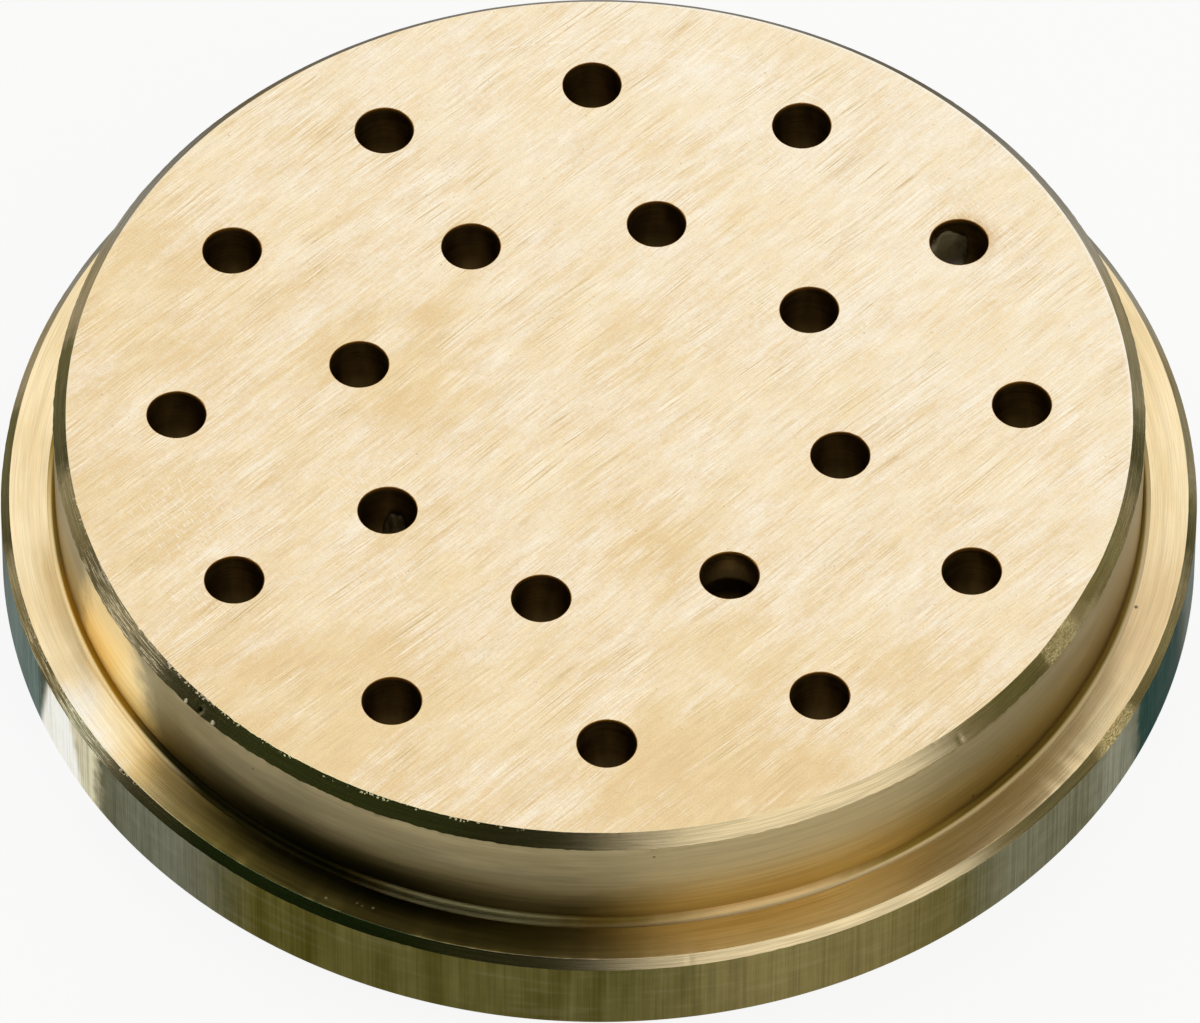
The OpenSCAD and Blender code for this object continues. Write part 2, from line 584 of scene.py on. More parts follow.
# Depths of the relief, in millimetres
FACE_DEPTH, LINE_DEPTH, RIM_DEPTH, DRILL_DEPTH, DOUGH_DEPTH = 0.004, 0.003, 0.004, 0.004, 0.03
# Share of a spot's radius that has its full strength
SPOT_CORE = 0.2
# How far the ends of patches wander, in degrees
TURNED_RAGGED, RIM_RAGGED = 0.8, 0.6

# Brush strokes on the outlet face: turn in radians, length and width in millimetres, seed and detail
CLOUD = (0.0, 5.0, 1.8, 3.0, 3.0)
MOTTLE = (0.0, 2.0, 0.5, 21.0, 4.0)
BANDS = (0.0, 9.0, 0.25, 5.0, 2.0)
STEEP = (0.03, 8.0, 0.08, 7.0, 2.0)
SHALLOW = (-0.05, 6.0, 0.065, 11.0, 2.0)
HAIRS = (0.0, 1.6, 0.04, 9.0, 1.0)
ACROSS = (1.30, 0.6, 0.07, 13.0, 1.0)
ASKEW = (1.55, 0.7, 0.06, 15.0, 1.0)
STRAY = (0.35, 3.0, 0.06, 17.0, 2.0)
# Blotches: size in millimetres, seed and detail
SWING = (4.0, 12.0, 3.0)
CLARITY = (2.4, 20.0, 3.0)
FLECKS = (0.2, 35.0, 2.0)
SMALL_GILT = (0.8, 41.0, 3.0)
LARGE_GILT = (4.5, 43.0, 3.0)
FACE_PITS = (0.16, 6.0, 0.0)
FACE_GRAIN = (0.09, 31.0, 1.0)
HATCH_PATCHES = (2.6, 51.0, 3.0)
ARC_BREAKS = (0.5, 53.0, 3.0)
PATCH_ENDS = (0.9, 8.0, 3.0)
UNEVEN = (1.2, 14.0, 3.0)
SPECKS = (0.16, 27.0, 1.0)
SPECK_GROUPS = (1.1, 28.0, 3.0)
RIM_CLOUD = (0.9, 4.0, 4.0)
DOUGH_CLOUD = (0.8, 2.0, 3.0)
# Lines round the axis: width in millimetres, changes in a radian, seed and detail
COARSE_LINES = (0.30, 3.0, 1.0, 2.0)
FINE_LINES = (0.06, 9.0, 5.0, 2.0)
BROAD_LINES = (1.2, 5.0, 9.0, 3.0)
BEVEL_COARSE = (0.14, 7.0, 1.0, 2.0)
BEVEL_FINE = (0.05, 16.0, 5.0, 2.0)
GRIT = (0.06, 170.0, 3.0, 1.0)
DRAGS = (0.05, 22.0, 18.0, 2.0)
RIM_STAIN = (0.5, 6.0, 33.0, 3.0)
# Lumps drawn out one way on the rim and in the holes: how many to a millimetre along X, Y and Z
RIM_FINE = (9.0, 9.0, 0.12)
RIM_BROAD = (0.8, 0.8, 0.1)
DRILL_RINGS = (0.5, 0.5, 9.0)
DRILL_CLOUD = (1.4, 1.4, 0.3)

# Colours of the outlet face and of the marks on it
FACE_TONES = (colour(0.82, 0.61, 0.33), colour(1.0, 0.905, 0.74))
GILT = colour(0.93, 0.76, 0.46)
RESIDUE = colour(0.62, 0.36, 0.10)
SCORED = colour(0.60, 0.44, 0.21)
SCRATCHED = colour(1.0, 0.95, 0.84)
FACE_EDGE_HIGHLIGHT = colour(1.0, 0.97, 0.90)
FACE_PITTED = colour(0.42, 0.30, 0.14)
# Painted light: rise in tone for each millimetre to the right and to the back
FACE_LIGHT_SLOPE = (0.0012, 0.0015, 0.0)
# Lathe-cut surfaces: dull and bright colour, and roughness. The wall's colours are darkened as painted
# shade, and the root's darker still as painted shade in the crease.
WALL_METAL = (colour(0.28, 0.23, 0.115), colour(0.37, 0.30, 0.155), 0.30)
ROOT_METAL = (colour(0.24, 0.16, 0.03), colour(0.30, 0.20, 0.045), 0.36)
SHOULDER_METAL = (colour(0.84, 0.65, 0.36), colour(0.93, 0.76, 0.47), 0.18)
INLET_METAL = (colour(0.84, 0.66, 0.40), colour(0.93, 0.77, 0.51), 0.26)
# Colours of the marks on them: dark pits, bright chips and painted glints, and painted shade in the corner
PITTED = colour(0.05, 0.035, 0.01)
CHIP_AND_GLINT = colour(1.0, 0.92, 0.74)
WALL_CORNER_SHADE = colour(0.05, 0.042, 0.008)
SHOULDER_CORNER_SHADE = colour(0.03, 0.025, 0.005)
# Share of each colour let through by the warmer foot of the wall and by the painted shade on the shoulder
WALL_WARMTH = (0.95, 0.84, 0.55)
SHOULDER_SHADE_TINT = (0.80, 0.74, 0.62)
# Colours of the bevels
BEVEL_BRASS = colour(0.80, 0.66, 0.40)
TORN_TONES = (colour(0.14, 0.11, 0.05), colour(1.0, 0.92, 0.72))
NICK_SHADE = colour(0.02, 0.015, 0.004)
FILED_GOLD = colour(0.97, 0.80, 0.42)
GRIT_TONES = (colour(0.46, 0.34, 0.11), colour(1.0, 0.86, 0.50))
# Colours of the rim, of the holes and of the dough. The rim's dark tones are partly tarnish and partly
# painted shade.
RIM_TONES = (colour(0.094, 0.083, 0.021), colour(0.142, 0.123, 0.041))
RIM_PALER = (0.055, 0.052, 0.040)
# Colour of the rim's painted reflection
RIM_REFLECTION = colour(1.0, 0.97, 0.86)
# The land's brass is darkened as painted shade in the holes
LAND_SHADED_BRASS = (0.24, 0.155, 0.05)
FEED_BRASS = (0.80, 0.60, 0.33)
# Painted reflection just inside each hole's mouth
HOLE_MOUTH_REFLECTION = colour(0.60, 0.30, 0.06)
DOUGH_TONES = (colour(0.17, 0.14, 0.07), colour(0.31, 0.265, 0.16))

# Stains on the outlet face: place and radius in millimetres, and strength
FACE_STAINS = (
    (-8.7, 2.4, 5.0, 0.9), (-12.0, 3.5, 4.5, 0.7), (6.6, -14.6, 3.5, 0.9),
    (14.7, -17.0, 5.0, 0.8), (4.8, -22.8, 8.0, 1.8), (-14.0, -19.0, 9.0, 1.1),
    (-21.0, 8.0, 9.0, 0.6), (2.0, 3.4, 3.6, 0.6), (-7.8, 4.5, 3.6, 1.1),
    (2.3, -8.7, 3.6, 0.9), (-22.5, -6.0, 5.0, 0.7),
)
# Patches with strokes across the brushing
FACE_HATCHES = (
    (-19.6, -6.1, 4.6, 1.0), (-11.6, -5.0, 3.4, 1.0), (-18.9, -11.0, 2.8, 0.9),
    (-10.2, -10.0, 3.0, 0.7), (7.9, 6.1, 2.6, 1.0), (11.7, 4.7, 3.2, 0.9),
    (17.3, 12.4, 3.4, 1.0), (19.2, 9.8, 3.2, 0.9), (8.4, 17.1, 4.0, 0.9),
)
# Faint scratches round the axis: radius in millimetres, middle and half width in degrees
ARC_SCRATCHES = ((22.75, 88.0, 18.0), (21.85, 70.0, 13.0))
# Distances at which such a scratch fades and is full, in millimetres, and softness of its ends in degrees
ARC_WIDTHS, ARC_SOFT = (0.09, 0.02), 5.0
# Painted highlight along the outlet face's edge: radii in millimetres, and middle, half width and softness
# in degrees
EDGE_HIGHLIGHT_RADII = (FACE_R / MM - 0.2, FACE_R / MM - 0.03)
EDGE_HIGHLIGHT_STRETCH = (40.0, 48.0, 14.0)
# Brown residue at the edge of one hole
FACE_RESIDUE = ((17.62, 10.22, 2.0, 1.0),)
# Dark pits on the wall and the shoulder
PITS = (
    (19.38, -17.11, 5.45, 0.12, 0.9), (17.20, -19.30, 5.25, 0.14, 0.9), (2.10, -25.76, 9.29, 0.10, 0.8),
    (-16.52, -19.89, 8.75, 0.10, 0.7), (25.29, -7.54, 4.50, 0.14, 0.9),
)
# Small bright chips on the shoulder
SHOULDER_CHIPS = (
    (-13.18, -24.27, 4.50, 0.10, 0.40), (-10.99, -24.89, 4.50, 0.10, 0.35),
    (-11.50, -24.77, 4.50, 0.09, 0.30), (-11.73, -24.59, 4.50, 0.09, 0.30),
)

# Torn stretches of each bevel, and those with bright specks that are painted glints: middle, half width and
# softness in degrees
TORN_SPIGOT = (207.0, 8.5, 3.5)
TORN_FLANGE = (204.0, 9.0, 3.5)
SPECKED_SPIGOT = (224.0, 34.0, 8.0)
SPECKED_FLANGE = (206.0, 12.0, 8.0)
# Stretches of each bevel where the file has left a coarse grain, whose dark and bright grains are partly
# painted glints
GRAINY_SPIGOT = (326.5, 3.0, 1.6)
GRAINY_FLANGE = (328.7, 3.2, 1.8)
# Painted shade in two nicks of the outlet face's bevel
BEVEL_NICK_SHADE = ((-18.93, -17.35, 10.05, 0.22, 0.95), (-18.20, -18.22, 10.08, 0.12, 0.8))
# Painted glints at the lower edge of the same bevel
BEVEL_GLINTS = ((-19.61, -16.76, 9.96, 0.14, 0.75), (-18.36, -18.09, 9.97, 0.16, 0.85))
# How far below a bevel's upper edge its bright specks fade and are full, in millimetres
SPECK_FADE, SPECK_FULL = 0.15, 0.05

# Heights and radii over which the warmer foot of the wall, the painted shade in the corner and on the
# shoulder, the painted highlight at the fillet's foot, the painted shade deep in the holes and the painted
# reflection at their mouths set in, in millimetres
WARM_HEIGHTS = (8.0, 5.0)
CORNER_SHADE_HEIGHTS = (8.0, 5.2)
CORNER_SHADE_RADII = (27.7, 26.3)
SHOULDER_SHADE_RADII = (27.5, 26.4)
FOOT_HEIGHTS = (4.60, 4.53)
LAND_SHADE_HEIGHTS = (10.0, 7.6)
MOUTH_REFLECTION_HEIGHTS = (10.25, 10.45)
# Stretches of painted shade in the corner and on the shoulder: middle, half width, softness in degrees
CORNER_SHADED = (240.0, 14.0, 10.0)
SHOULDER_SHADED = (193.0, 6.0, 4.0)
# Stretches where the fillet's foot has a painted highlight: middle, half width and softness in degrees, and
# colour
LIT_FILLET_FEET = (
    (318.0, 42.0, 14.0, (0.62, 0.49, 0.28)),
    (198.0, 20.0, 6.0, (0.80, 0.61, 0.31)),
)


def face_scratches(finish):
    """Bright marks on the outlet face: strokes across the brushing, long stray ones and faint arcs."""
    crossing = finish.math("MAXIMUM", finish.streaks(*ACROSS), finish.streaks(*ASKEW))
    strokes = finish.ramp(crossing, 0.60, 0.74, 0.0, 0.8)
    patch = finish.ramp(finish.blotches(*HATCH_PATCHES), 0.52, 0.68, 0.0, 0.35)
    hatch = finish.times(strokes, finish.math("MAXIMUM", finish.face_spots(FACE_HATCHES), patch))
    stray = finish.ramp(finish.streaks(*STRAY), 0.68, 0.74)
    bright = finish.math("MAXIMUM", hatch, finish.times(stray, 0.5))
    broken = finish.ramp(finish.blotches(*ARC_BREAKS), 0.42, 0.60, 0.0, 0.6)
    for radius, middle, half in ARC_SCRATCHES:
        off = finish.math("ABSOLUTE", finish.math("SUBTRACT", finish.radius, radius))
        line = finish.times(finish.ramp(off, *ARC_WIDTHS), finish.sector(middle, half, ARC_SOFT))
        bright = finish.math("MAXIMUM", bright, finish.times(line, broken))
    return bright


def brush_lines(finish):
    """Lines of the brushing, which swing between two directions and are clearer in places."""
    steep = finish.streaks(*STEEP)
    shallow = finish.streaks(*SHALLOW)
    swing = finish.ramp(finish.blotches(*SWING), 0.4, 0.6)
    lines = finish.math("MULTIPLY_ADD", swing, finish.math("SUBTRACT", shallow, steep), steep)
    clarity = finish.ramp(finish.blotches(*CLARITY), 0.35, 0.65, 0.4, 1.4)
    return finish.math("MULTIPLY_ADD", finish.math("SUBTRACT", lines, 0.5), clarity, 0.5)


def brushed_tone(finish, bands, lines, hairs):
    """How bright the outlet face is: strokes of all sizes, a slow change across it that is painted light,
    and stains.
    """
    cloud = finish.streaks(*CLOUD)
    mottle = finish.streaks(*MOTTLE)
    flecks = finish.blotches(*FLECKS)
    broad = ((cloud, 0.22), (mottle, 0.22), (bands, 0.18))
    tone = finish.sum(*broad, (lines, 0.38), (hairs, 0.18), (flecks, 0.16))
    light_slope = finish.dot(finish.place, FACE_LIGHT_SLOPE)
    stain = finish.times(finish.face_spots(FACE_STAINS), finish.ramp(cloud, 0.7, 0.3, 0.3, 1.0))
    return finish.sum((tone, 1.0), (light_slope, 1.0), (stain, -0.13))


def face_colour(finish, bands, lines, hairs):
    """Colour of the brushed metal and of the marks that lie on it."""
    tone = brushed_tone(finish, bands, lines, hairs)
    base = finish.mix(finish.ramp(tone, 0.505, 0.83), *FACE_TONES)
    gilt = finish.ramp(finish.blotches(*SMALL_GILT), 0.42, 0.68, 0.0, 0.2)
    gilt = finish.math("ADD", gilt, finish.ramp(finish.blotches(*LARGE_GILT), 0.40, 0.65, 0.0, 0.25))
    base = finish.mix(gilt, base, GILT)
    base = finish.mix(finish.face_spots(FACE_RESIDUE), base, RESIDUE)
    deep = finish.ramp(bands, 0.6, 0.4, 0.2, 0.8)
    scored = finish.times(finish.ramp(lines, 0.40, 0.25), deep)
    base = finish.mix(scored, base, SCORED)
    base = finish.mix(face_scratches(finish), base, SCRATCHED)
    # Painted highlight along the face's edge
    near_edge = finish.ramp(finish.radius, *EDGE_HIGHLIGHT_RADII, 0.0, 0.5)
    edge_highlight = finish.times(near_edge, finish.sector(*EDGE_HIGHLIGHT_STRETCH))
    base = finish.mix(edge_highlight, base, FACE_EDGE_HIGHLIGHT)
    pit = finish.ramp(finish.blotches(*FACE_PITS), 0.18, 0.13)
    return finish.mix(finish.times(pit, 0.5), base, FACE_PITTED)


def brushed_face():
    finish = Finish("brushed_face")
    bands = finish.streaks(*BANDS)
    lines = brush_lines(finish)
    hairs = finish.streaks(*HAIRS)
    grain = finish.blotches(*FACE_GRAIN)
    shade = finish.sum((hairs, 0.35), (lines, 0.25), (grain, 0.4))
    shade = finish.ramp(shade, 0.3, 0.7, 0.90, 1.08)
    base = finish.scaled(face_colour(finish, bands, lines, hairs), shade)
    roughness = finish.ramp(bands, 0.3, 0.7, 0.30, 0.42)
    relief = finish.sum((lines, 1.0), (bands, 1.2), (hairs, 0.5))
    return finish.metal(base, roughness, finish.bumped(relief, FACE_DEPTH), grey(1.0))


def turned_finish(name, dull, bright, roughness, patches=(), lean=0.0, soil=None):
    """A lathe-cut surface, with lines round the axis, patches of colour that are partly tarnish and partly
    painted shade and highlight, and any painted light that is given.
    """
    finish = Finish(name)
    base = finish.mix(finish.ramp(finish.rings(*BROAD_LINES), 0.3, 0.7), dull, bright)
    base = finish.patched(base, patches, TURNED_RAGGED, lean)
    if soil:
        base = soil(finish, base)
    lines = finish.sum((finish.rings(*COARSE_LINES), 0.45), (finish.rings(*FINE_LINES), 0.55))
    base = finish.scaled(base, finish.ramp(lines, 0.3, 0.7, 0.86, 1.12))
    base = finish.mix(finish.spots(PITS), base, PITTED)
    chips = finish.spots(SHOULDER_CHIPS)
    base = finish.mix(chips, base, CHIP_AND_GLINT)
    spread = finish.ramp(lines, 0.3, 0.7, roughness - 0.02, roughness + 0.02)
    spread = finish.math("MULTIPLY_ADD", chips, 0.45, spread)
    normal = finish.bumped(lines, LINE_DEPTH)
    return finish.metal(base, spread, normal, finish.glance(*TURNED_GLANCE), TURNED_GLOSS)


def wall_warmth_and_corner_shade(finish, base):
    """Darker and warmer low on the spigot wall, and painted shade in the corner along one stretch."""
    warm = finish.vector("MULTIPLY", base, WALL_WARMTH)
    base = finish.mix(finish.ramp(finish.height, *WARM_HEIGHTS), base, warm)
    corner_shade = finish.times(finish.ramp(finish.height, *CORNER_SHADE_HEIGHTS), finish.sector(*CORNER_SHADED))
    return finish.mix(corner_shade, base, WALL_CORNER_SHADE)


def shoulder_painted_shade(finish, base):
    """Painted shade on the inner part of the shoulder along one stretch, and warm painted shade along
    another.
    """
    warm = finish.vector("MULTIPLY", base, SHOULDER_SHADE_TINT)
    side_shade = finish.times(finish.ramp(finish.radius, *SHOULDER_SHADE_RADII), finish.sector(*SHOULDER_SHADED))
    base = finish.mix(side_shade, base, warm)
    inner = finish.ramp(finish.radius, *CORNER_SHADE_RADII, 0.0, 0.85)
    corner_shade = finish.times(inner, finish.sector(*CORNER_SHADED))
    return finish.mix(corner_shade, base, SHOULDER_CORNER_SHADE)


def lit_fillet_foot(finish, base):
    """Painted highlight: the foot of the fillet is as bright as the shoulder along two stretches."""
    low = finish.ramp(finish.height, *FOOT_HEIGHTS)
    for middle, half, soft, tint in LIT_FILLET_FEET:
        painted_bright = finish.times(low, finish.sector(middle, half, soft))
        base = finish.mix(painted_bright, base, colour(*tint))
    return base


def bevel_specks(finish, specked, edge):
    """Bright specks along a bevel's upper edge, whose height is given, and spots at its lower edge: painted
    glints in bright colour.
    """
    at_edge = finish.ramp(finish.height, edge / MM - SPECK_FADE, edge / MM - SPECK_FULL)
    sparse = finish.ramp(finish.blotches(*SPECK_GROUPS), 0.42, 0.60, 0.0, 0.9)
    specks = finish.times(finish.ramp(finish.blotches(*SPECKS), 0.57, 0.68), at_edge)
    specks = finish.times(specks, finish.times(sparse, finish.sector(*specked)))
    return finish.math("MAXIMUM", specks, finish.spots(BEVEL_GLINTS))


def filed_bevel(name, stretch, grainy, torn_cut, specked, edge, patches):
    """A bevel cut on the lathe and filed along one stretch. The edge is the height of its upper end."""
    finish = Finish(name)
    lines = finish.sum((finish.rings(*BEVEL_COARSE), 0.5), (finish.rings(*BEVEL_FINE), 0.5))
    grit = finish.rings(*GRIT)
    drag = finish.rings(*DRAGS)
    middle, half, _ = stretch
    uneven = finish.ramp(finish.blotches(*UNEVEN), 0.3, 0.6, 0.45, 1.0)
    by_file = finish.sector(middle, half - FILED_FADE / 2, FILED_FADE / 2)
    filed_cut = finish.times(by_file, uneven)
    grain = finish.times(finish.sector(*grainy), uneven)
    torn = finish.sector(*torn_cut)
    dark_drags = finish.times(finish.ramp(drag, 0.52, 0.38, 0.0, 0.6), torn)
    bright_drags = finish.times(finish.ramp(drag, 0.56, 0.68, 0.0, 0.5), torn)
    specks = bevel_specks(finish, specked, edge)
    base = finish.patched(BEVEL_BRASS, patches, TURNED_RAGGED)
    base = finish.scaled(base, finish.ramp(lines, 0.33, 0.67, 0.8, 1.2))
    for drags, tint in zip((dark_drags, bright_drags), TORN_TONES):
        base = finish.mix(drags, base, tint)
    base = finish.mix(finish.spots(BEVEL_NICK_SHADE), base, NICK_SHADE)
    base = finish.mix(finish.times(filed_cut, 0.4), base, FILED_GOLD)
    base = finish.mix(grain, base, finish.mix(finish.ramp(grit, 0.38, 0.62), *GRIT_TONES))
    base = finish.mix(specks, base, CHIP_AND_GLINT)
    gritty = finish.times(grit, grain)
    relief = finish.sum((lines, 2.0), (gritty, 8.0), (bright_drags, 3.0), (specks, 9.0))
    rough = finish.math("MAXIMUM", finish.sum((filed_cut, 0.3), (torn, 0.3), (grain, 0.4)), specks)
    roughness = finish.ramp(rough, 0.0, 1.0, 0.19, 0.65)
    normal = finish.bumped(relief, LINE_DEPTH)
    return finish.metal(base, roughness, normal, finish.glance(*BEVEL_GLANCE), BEVEL_GLOSS)


# Patches round the axis: middle, half width and softness in degrees, and colour
# The wall's patches are painted shade and painted reflection; the bright one at 206.3 degrees is a painted
# reflection of a light on the left.
WALL_PATCHES = (
    (188.0, 5.0, 4.0, (0.31, 0.245, 0.12)),
    (217.5, 4.5, 3.0, (0.25, 0.195, 0.075)),
    (206.3, 8.6, 2.6, (0.97, 0.77, 0.41)),
    (289.0, 16.0, 8.0, (0.44, 0.35, 0.18)),
    (318.0, 12.0, 7.0, (0.27, 0.22, 0.11)),
    (350.0, 16.0, 7.0, (0.29, 0.23, 0.105)),
)
# Degrees by which each end of the wall's patches moves in, for each millimetre of height
WALL_LEAN = 0.6
# The root's patches are painted shade and painted highlight along the crease, near black at 229.5 degrees.
ROOT_PATCHES = (
    (182.0, 8.0, 6.0, (0.43, 0.27, 0.05)),
    (201.5, 11.0, 3.0, (0.60, 0.29, 0.02)),
    (229.5, 16.0, 6.0, (0.03, 0.025, 0.006)),
    (256.0, 8.0, 5.0, (0.60, 0.54, 0.28)),
    (286.0, 9.0, 7.0, (0.74, 0.52, 0.24)),
    (340.0, 14.0, 8.0, (0.45, 0.30, 0.07)),
)
# The shoulder's patches are painted light: the bright one at 210 degrees is a painted reflection, and the
# dark one at 246 degrees is painted shade.
SHOULDER_PATCHES = (
    (210.0, 5.0, 3.0, (0.98, 0.92, 0.80)),
    (246.0, 24.0, 10.0, (0.60, 0.47, 0.12)),
    (342.0, 9.0, 7.0, (0.74, 0.55, 0.30)),
)
# The rim's patches are partly tarnish and partly painted reflection and shade; the bright one at 210.4
# degrees is a painted reflection.
RIM_PATCHES = (
    (182.0, 5.0, 4.0, (0.27, 0.26, 0.17)),
    (193.5, 8.0, 1.5, (0.27, 0.36, 0.32)),
    (221.0, 8.5, 6.0, (0.23, 0.23, 0.165)),
    (210.4, 2.4, 1.4, (1.0, 0.91, 0.64)),
    (291.0, 13.0, 8.0, (0.24, 0.195, 0.075)),
    (318.5, 10.5, 5.0, (0.25, 0.24, 0.155)),
    (329.0, 4.0, 3.0, (0.42, 0.42, 0.31)),
    (339.0, 6.5, 1.0, (0.07, 0.13, 0.11)),
    (352.0, 6.0, 3.0, (0.25, 0.30, 0.25)),
)
# Patches that both bevels have, and then each bevel's own. The darker far half and the dark patches at 178
# and 354.5 degrees are painted shade, the flange's bright patch at 210 degrees is a painted reflection, and
# the rest are partly tarnish and partly painted shade and highlight.
BEVEL_PATCHES = (
    (90.0, 90.0, 8.0, (0.44, 0.36, 0.22)),
    (34.0, 14.0, 7.0, (0.58, 0.54, 0.44)),
    (145.0, 10.0, 5.0, (0.54, 0.50, 0.41)),
    (7.0, 8.0, 5.0, (0.33, 0.28, 0.17)),
    (178.0, 9.5, 3.0, (0.18, 0.16, 0.08)),
    (354.5, 5.0, 3.5, (0.19, 0.17, 0.08)),
    (340.0, 4.0, 3.0, (0.98, 0.82, 0.48)),
)
SPIGOT_PATCHES = (
    *BEVEL_PATCHES,
    (200.5, 5.0, 3.0, (0.48, 0.39, 0.23)),
    (240.0, 14.0, 5.0, (0.98, 0.92, 0.46)),
    (319.0, 4.0, 3.0, (0.60, 0.53, 0.27)),
)
FLANGE_PATCHES = (
    *BEVEL_PATCHES,
    (199.0, 6.0, 3.0, (0.56, 0.45, 0.23)),
    (210.0, 4.0, 2.0, (1.0, 0.92, 0.62)),
    (239.0, 14.0, 5.0, (0.28, 0.38, 0.17)),
    (319.0, 4.0, 3.0, (0.68, 0.60, 0.40)),
)
# Bright band on the rim, a painted reflection: middle, half width and softness in degrees
RIM_REFLECTED_BAND = (205.4, 3.6, 0.8)
# How each end of the band moves in: degrees for each millimetre of height, and at the rim's foot
BAND_TAPER, BAND_FOOT = 0.5, -1.0


def drawn_rim():
    """The drawn bar's own skin: dull, faintly streaked along the axis and tarnished in patches. Its dark
    tone is partly tarnish and partly painted shade, and its bright band is a painted reflection.
    """
    finish = Finish("drawn_rim")
    fine = finish.drawn_out(*RIM_FINE)
    broad = finish.drawn_out(*RIM_BROAD)
    cloud = finish.blotches(*RIM_CLOUD)
    tone = finish.sum((fine, 0.65), (broad, 0.15), (cloud, 0.2))
    base = finish.mix(finish.ramp(broad, 0.3, 0.7), *RIM_TONES)
    base = finish.patched(base, RIM_PATCHES, RIM_RAGGED)
    stain = finish.ramp(finish.rings(*RIM_STAIN), 0.50, 0.68, 0.0, 0.35)
    base = finish.mix(stain, base, finish.vector("ADD", base, RIM_PALER))
    # Painted reflection: a bright band, which also shows fully at a glancing angle
    slant = finish.math("MULTIPLY_ADD", finish.height, BAND_TAPER, BAND_FOOT)
    painted_bright = finish.sector(*RIM_REFLECTED_BAND, slant)
    base = finish.mix(painted_bright, base, RIM_REFLECTION)
    base = finish.scaled(base, finish.ramp(tone, 0.32, 0.68, 0.79, 1.21))
    roughness = finish.ramp(fine, 0.3, 0.7, 0.32, 0.46)
    grazing = finish.mix(painted_bright, finish.glance(*RIM_GLANCE), grey(1.0))
    normal = finish.bumped(tone, RIM_DEPTH)
    return finish.metal(base, roughness, normal, grazing, RIM_GLOSS, across=False)


def drilled(name, base, soil=None):
    """The wall of a drilled hole, with the drill's fine rings."""
    finish = Finish(name)
    ring = finish.drawn_out(*DRILL_RINGS)
    cloud = finish.drawn_out(*DRILL_CLOUD)
    tone = finish.sum((ring, 0.5), (cloud, 0.5))
    dull = colour(*(0.5 * part for part in base))
    shade = finish.mix(finish.ramp(tone, 0.35, 0.65), dull, colour(*base))
    if soil:
        shade = soil(finish, shade)
    roughness = finish.ramp(ring, 0.3, 0.7, 0.42, 0.56)
    return finish.metal(shade, roughness, finish.bumped(ring, DRILL_DEPTH), grey(HOLE_GLANCE))


def land_painted_light(finish, shade):
    """Painted shade deep in a strand hole, darker with depth, and a painted reflection just inside its
    mouth.
    """
    shade = finish.scaled(shade, finish.ramp(finish.height, *LAND_SHADE_HEIGHTS, 1.0, 0.42))
    return finish.mix(finish.ramp(finish.height, *MOUTH_REFLECTION_HEIGHTS), shade, HOLE_MOUTH_REFLECTION)


def dried_dough():
    finish = Finish("dried_dough")
    cloud = finish.blotches(*DOUGH_CLOUD)
    base = finish.mix(finish.ramp(cloud, 0.3, 0.7), *DOUGH_TONES)
    normal = finish.bumped(cloud, DOUGH_DEPTH)
    return finish.surface({"Base Color": base, "Roughness": 0.5, "Normal": normal})


materials = {
    "face": brushed_face(),
    "bevel": filed_bevel(
        "spigot_bevel", FILED_SPIGOT, GRAINY_SPIGOT, TORN_SPIGOT, SPECKED_SPIGOT,
        TOP_Z, SPIGOT_PATCHES,
    ),
    "wall": turned_finish("wall", *WALL_METAL, WALL_PATCHES, WALL_LEAN, wall_warmth_and_corner_shade),
    "root": turned_finish("root", *ROOT_METAL, ROOT_PATCHES, soil=lit_fillet_foot),
    "shoulder": turned_finish("shoulder", *SHOULDER_METAL, SHOULDER_PATCHES, soil=shoulder_painted_shade),
    "flange_bevel": filed_bevel(
        "flange_bevel", FILED_FLANGE, GRAINY_FLANGE, TORN_FLANGE, SPECKED_FLANGE,
        SHOULDER_Z, FLANGE_PATCHES,
    ),
    "rim": drawn_rim(),
    "inlet_face": turned_finish("inlet_face", *INLET_METAL),
    "land": drilled("land", LAND_SHADED_BRASS, land_painted_light),
    "feed": drilled("feed", FEED_BRASS),
}

die = finished_die(materials)
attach(die, "root")
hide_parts("die_body")

dough = dried_dough()
for crumb in CRUMBS:
    dough_crumb(*crumb, dough)

# Camera, fitted to the hole centres and the round edges in the photograph
CAMERA_AZIMUTH = math.radians(-1.22)
CAMERA_ELEVATION = math.radians(51.4515)
CAMERA_ROLL = math.radians(0.2744)
CAMERA_DISTANCE = 871.97 * MM
CAMERA_SIDE = 0.0334 * MM
CAMERA_RISE = -4.816 * MM
CAMERA_LENS = 553.0
SENSOR_WIDTH = 36.0
CLIP_START = CAMERA_DISTANCE / 10
CLIP_END = CAMERA_DISTANCE * 20


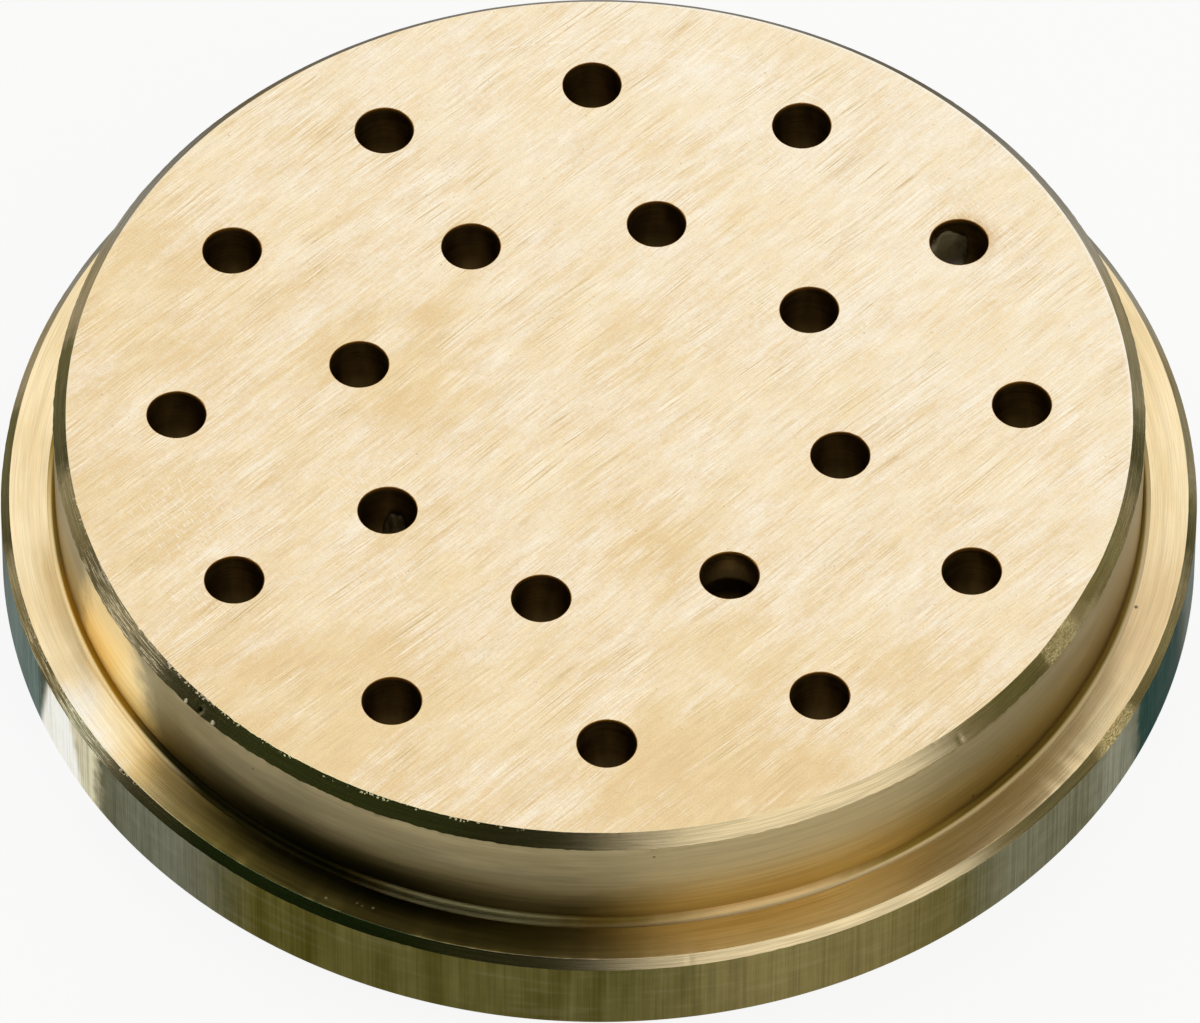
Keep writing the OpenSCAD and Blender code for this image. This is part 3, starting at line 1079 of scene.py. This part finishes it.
def place_camera():
    flat_back = Vector((math.sin(CAMERA_AZIMUTH), -math.cos(CAMERA_AZIMUTH), 0.0))
    back = flat_back * math.cos(CAMERA_ELEVATION) + Vector((0, 0, math.sin(CAMERA_ELEVATION)))
    level = Vector((math.cos(CAMERA_AZIMUTH), math.sin(CAMERA_AZIMUTH), 0.0))
    tilted = back.cross(level)
    right = level * math.cos(CAMERA_ROLL) + tilted * math.sin(CAMERA_ROLL)
    up = tilted * math.cos(CAMERA_ROLL) - level * math.sin(CAMERA_ROLL)
    target = Vector((0, 0, TOP_Z))
    data = bpy.data.cameras.new("camera")
    data.lens = CAMERA_LENS
    data.sensor_width = SENSOR_WIDTH
    data.clip_start = CLIP_START
    data.clip_end = CLIP_END
    camera = bpy.data.objects.new("camera", data)
    camera.matrix_world = Matrix((right, up, back)).transposed().to_4x4()
    camera.location = target + back * CAMERA_DISTANCE + right * CAMERA_SIDE + up * CAMERA_RISE
    bpy.context.scene.collection.objects.link(camera)
    bpy.context.scene.camera = camera


FLOOR_HALF = 4.0
FLOOR_PAPER = 0.96
# How far the floor is lifted towards white where it is seen, straight or in the metal
FLOOR_LIFT = 0.9


def lay_floor():
    mesh = bpy.data.meshes.new("floor")
    half = FLOOR_HALF
    corners = [(-half, -half, 0), (half, -half, 0), (half, half, 0), (-half, half, 0)]
    mesh.from_pydata(corners, [], [(0, 1, 2, 3)])
    floor = bpy.data.objects.new("floor", mesh)
    bpy.context.scene.collection.objects.link(floor)
    paper = bpy.data.materials.new("floor_paper")
    paper.use_nodes = True
    nodes = Nodes(paper.node_tree)
    matt = nodes.add("BsdfDiffuse", {"Color": grey(FLOOR_PAPER)}).outputs[0]
    white = nodes.add("Emission", {"Color": grey(1.0), "Strength": 1.0}).outputs[0]
    rays = nodes.add("LightPath").outputs
    mirrored = nodes.math("ADD", rays["Is Glossy Ray"], rays["Is Transmission Ray"])
    seen = nodes.math("ADD", rays["Is Camera Ray"], mirrored)
    lift = nodes.times(nodes.math("MINIMUM", seen, 1.0), FLOOR_LIFT)
    shader = nodes.add("MixShader", {0: lift, 1: matt, 2: white})
    nodes.add("OutputMaterial", {"Surface": shader.outputs[0]})
    mesh.materials.append(paper)


# Panels of light and shade round the object, each laid over those before it: from and to in degrees right
# of the front, from and to in degrees above the floor, softness of the left and right ends, and colour
PANELS = (
    ((-92.0, 62.0), (4.0, 84.0), (5.0, 5.0), (0.020, 0.024, 0.008)),
    ((-106.0, 30.0), (40.0, 84.0), (4.0, 4.0), (0.002, 0.003, 0.001)),
    ((9.0, 62.0), (8.0, 46.0), (16.0, 6.0), (0.92, 0.90, 0.86)),
    ((9.0, 62.0), (46.0, 72.0), (16.0, 6.0), (1.15, 1.08, 0.90)),
    ((64.0, 126.0), (-6.0, 42.0), (5.0, 5.0), (0.14, 0.13, 0.07)),
    ((64.0, 126.0), (42.0, 62.0), (8.0, 14.0), (0.70, 0.63, 0.38)),
    ((120.0, 165.0), (-6.0, 16.0), (5.0, 5.0), (0.18, 0.17, 0.10)),
    ((-135.0, -92.0), (-6.0, 30.0), (5.0, 5.0), (0.21, 0.20, 0.13)),
    ((-165.0, -125.0), (-6.0, 16.0), (5.0, 5.0), (0.18, 0.17, 0.10)),
    ((-138.0, -108.0), (36.0, 64.0), (4.0, 4.0), (1.60, 1.60, 1.50)),
)
PANEL_RISE_SOFT = 4.0
# Light of the dome at the floor and higher up, and where it stops rising, in degrees
DOME_LOW, DOME_HIGH, DOME_RISE = 0.8, 1.04, 30.0


def light_studio():
    """Soft light from all round and above, with panels of more and less light."""
    world = bpy.data.worlds.new("studio")
    world.use_nodes = True
    bpy.context.scene.world = world
    nodes = Nodes(world.node_tree)
    direction = nodes.add("TexCoord").outputs["Generated"]
    to_right = nodes.dot(direction, (1.0, 0.0, 0.0))
    to_front = nodes.dot(direction, (0.0, -1.0, 0.0))
    side = nodes.math("DEGREES", nodes.math("ARCTAN2", to_right, to_front))
    rise = nodes.math("DEGREES", nodes.math("ARCSINE", nodes.dot(direction, (0.0, 0.0, 1.0))))
    light = nodes.ramp(rise, 0.0, DOME_RISE, DOME_LOW, DOME_HIGH)
    for sides, rises, softness, radiance in PANELS:
        across = nodes.band(side, *sides, *softness)
        upward = nodes.band(rise, *rises, PANEL_RISE_SOFT, PANEL_RISE_SOFT)
        light = nodes.mix(nodes.times(across, upward), light, colour(*radiance))
    background = nodes.add("Background", {"Color": light})
    nodes.add("OutputWorld", {"Surface": background.outputs[0]})


place_camera()
lay_floor()
light_studio()
bpy.context.scene.view_settings.view_transform = "Standard"
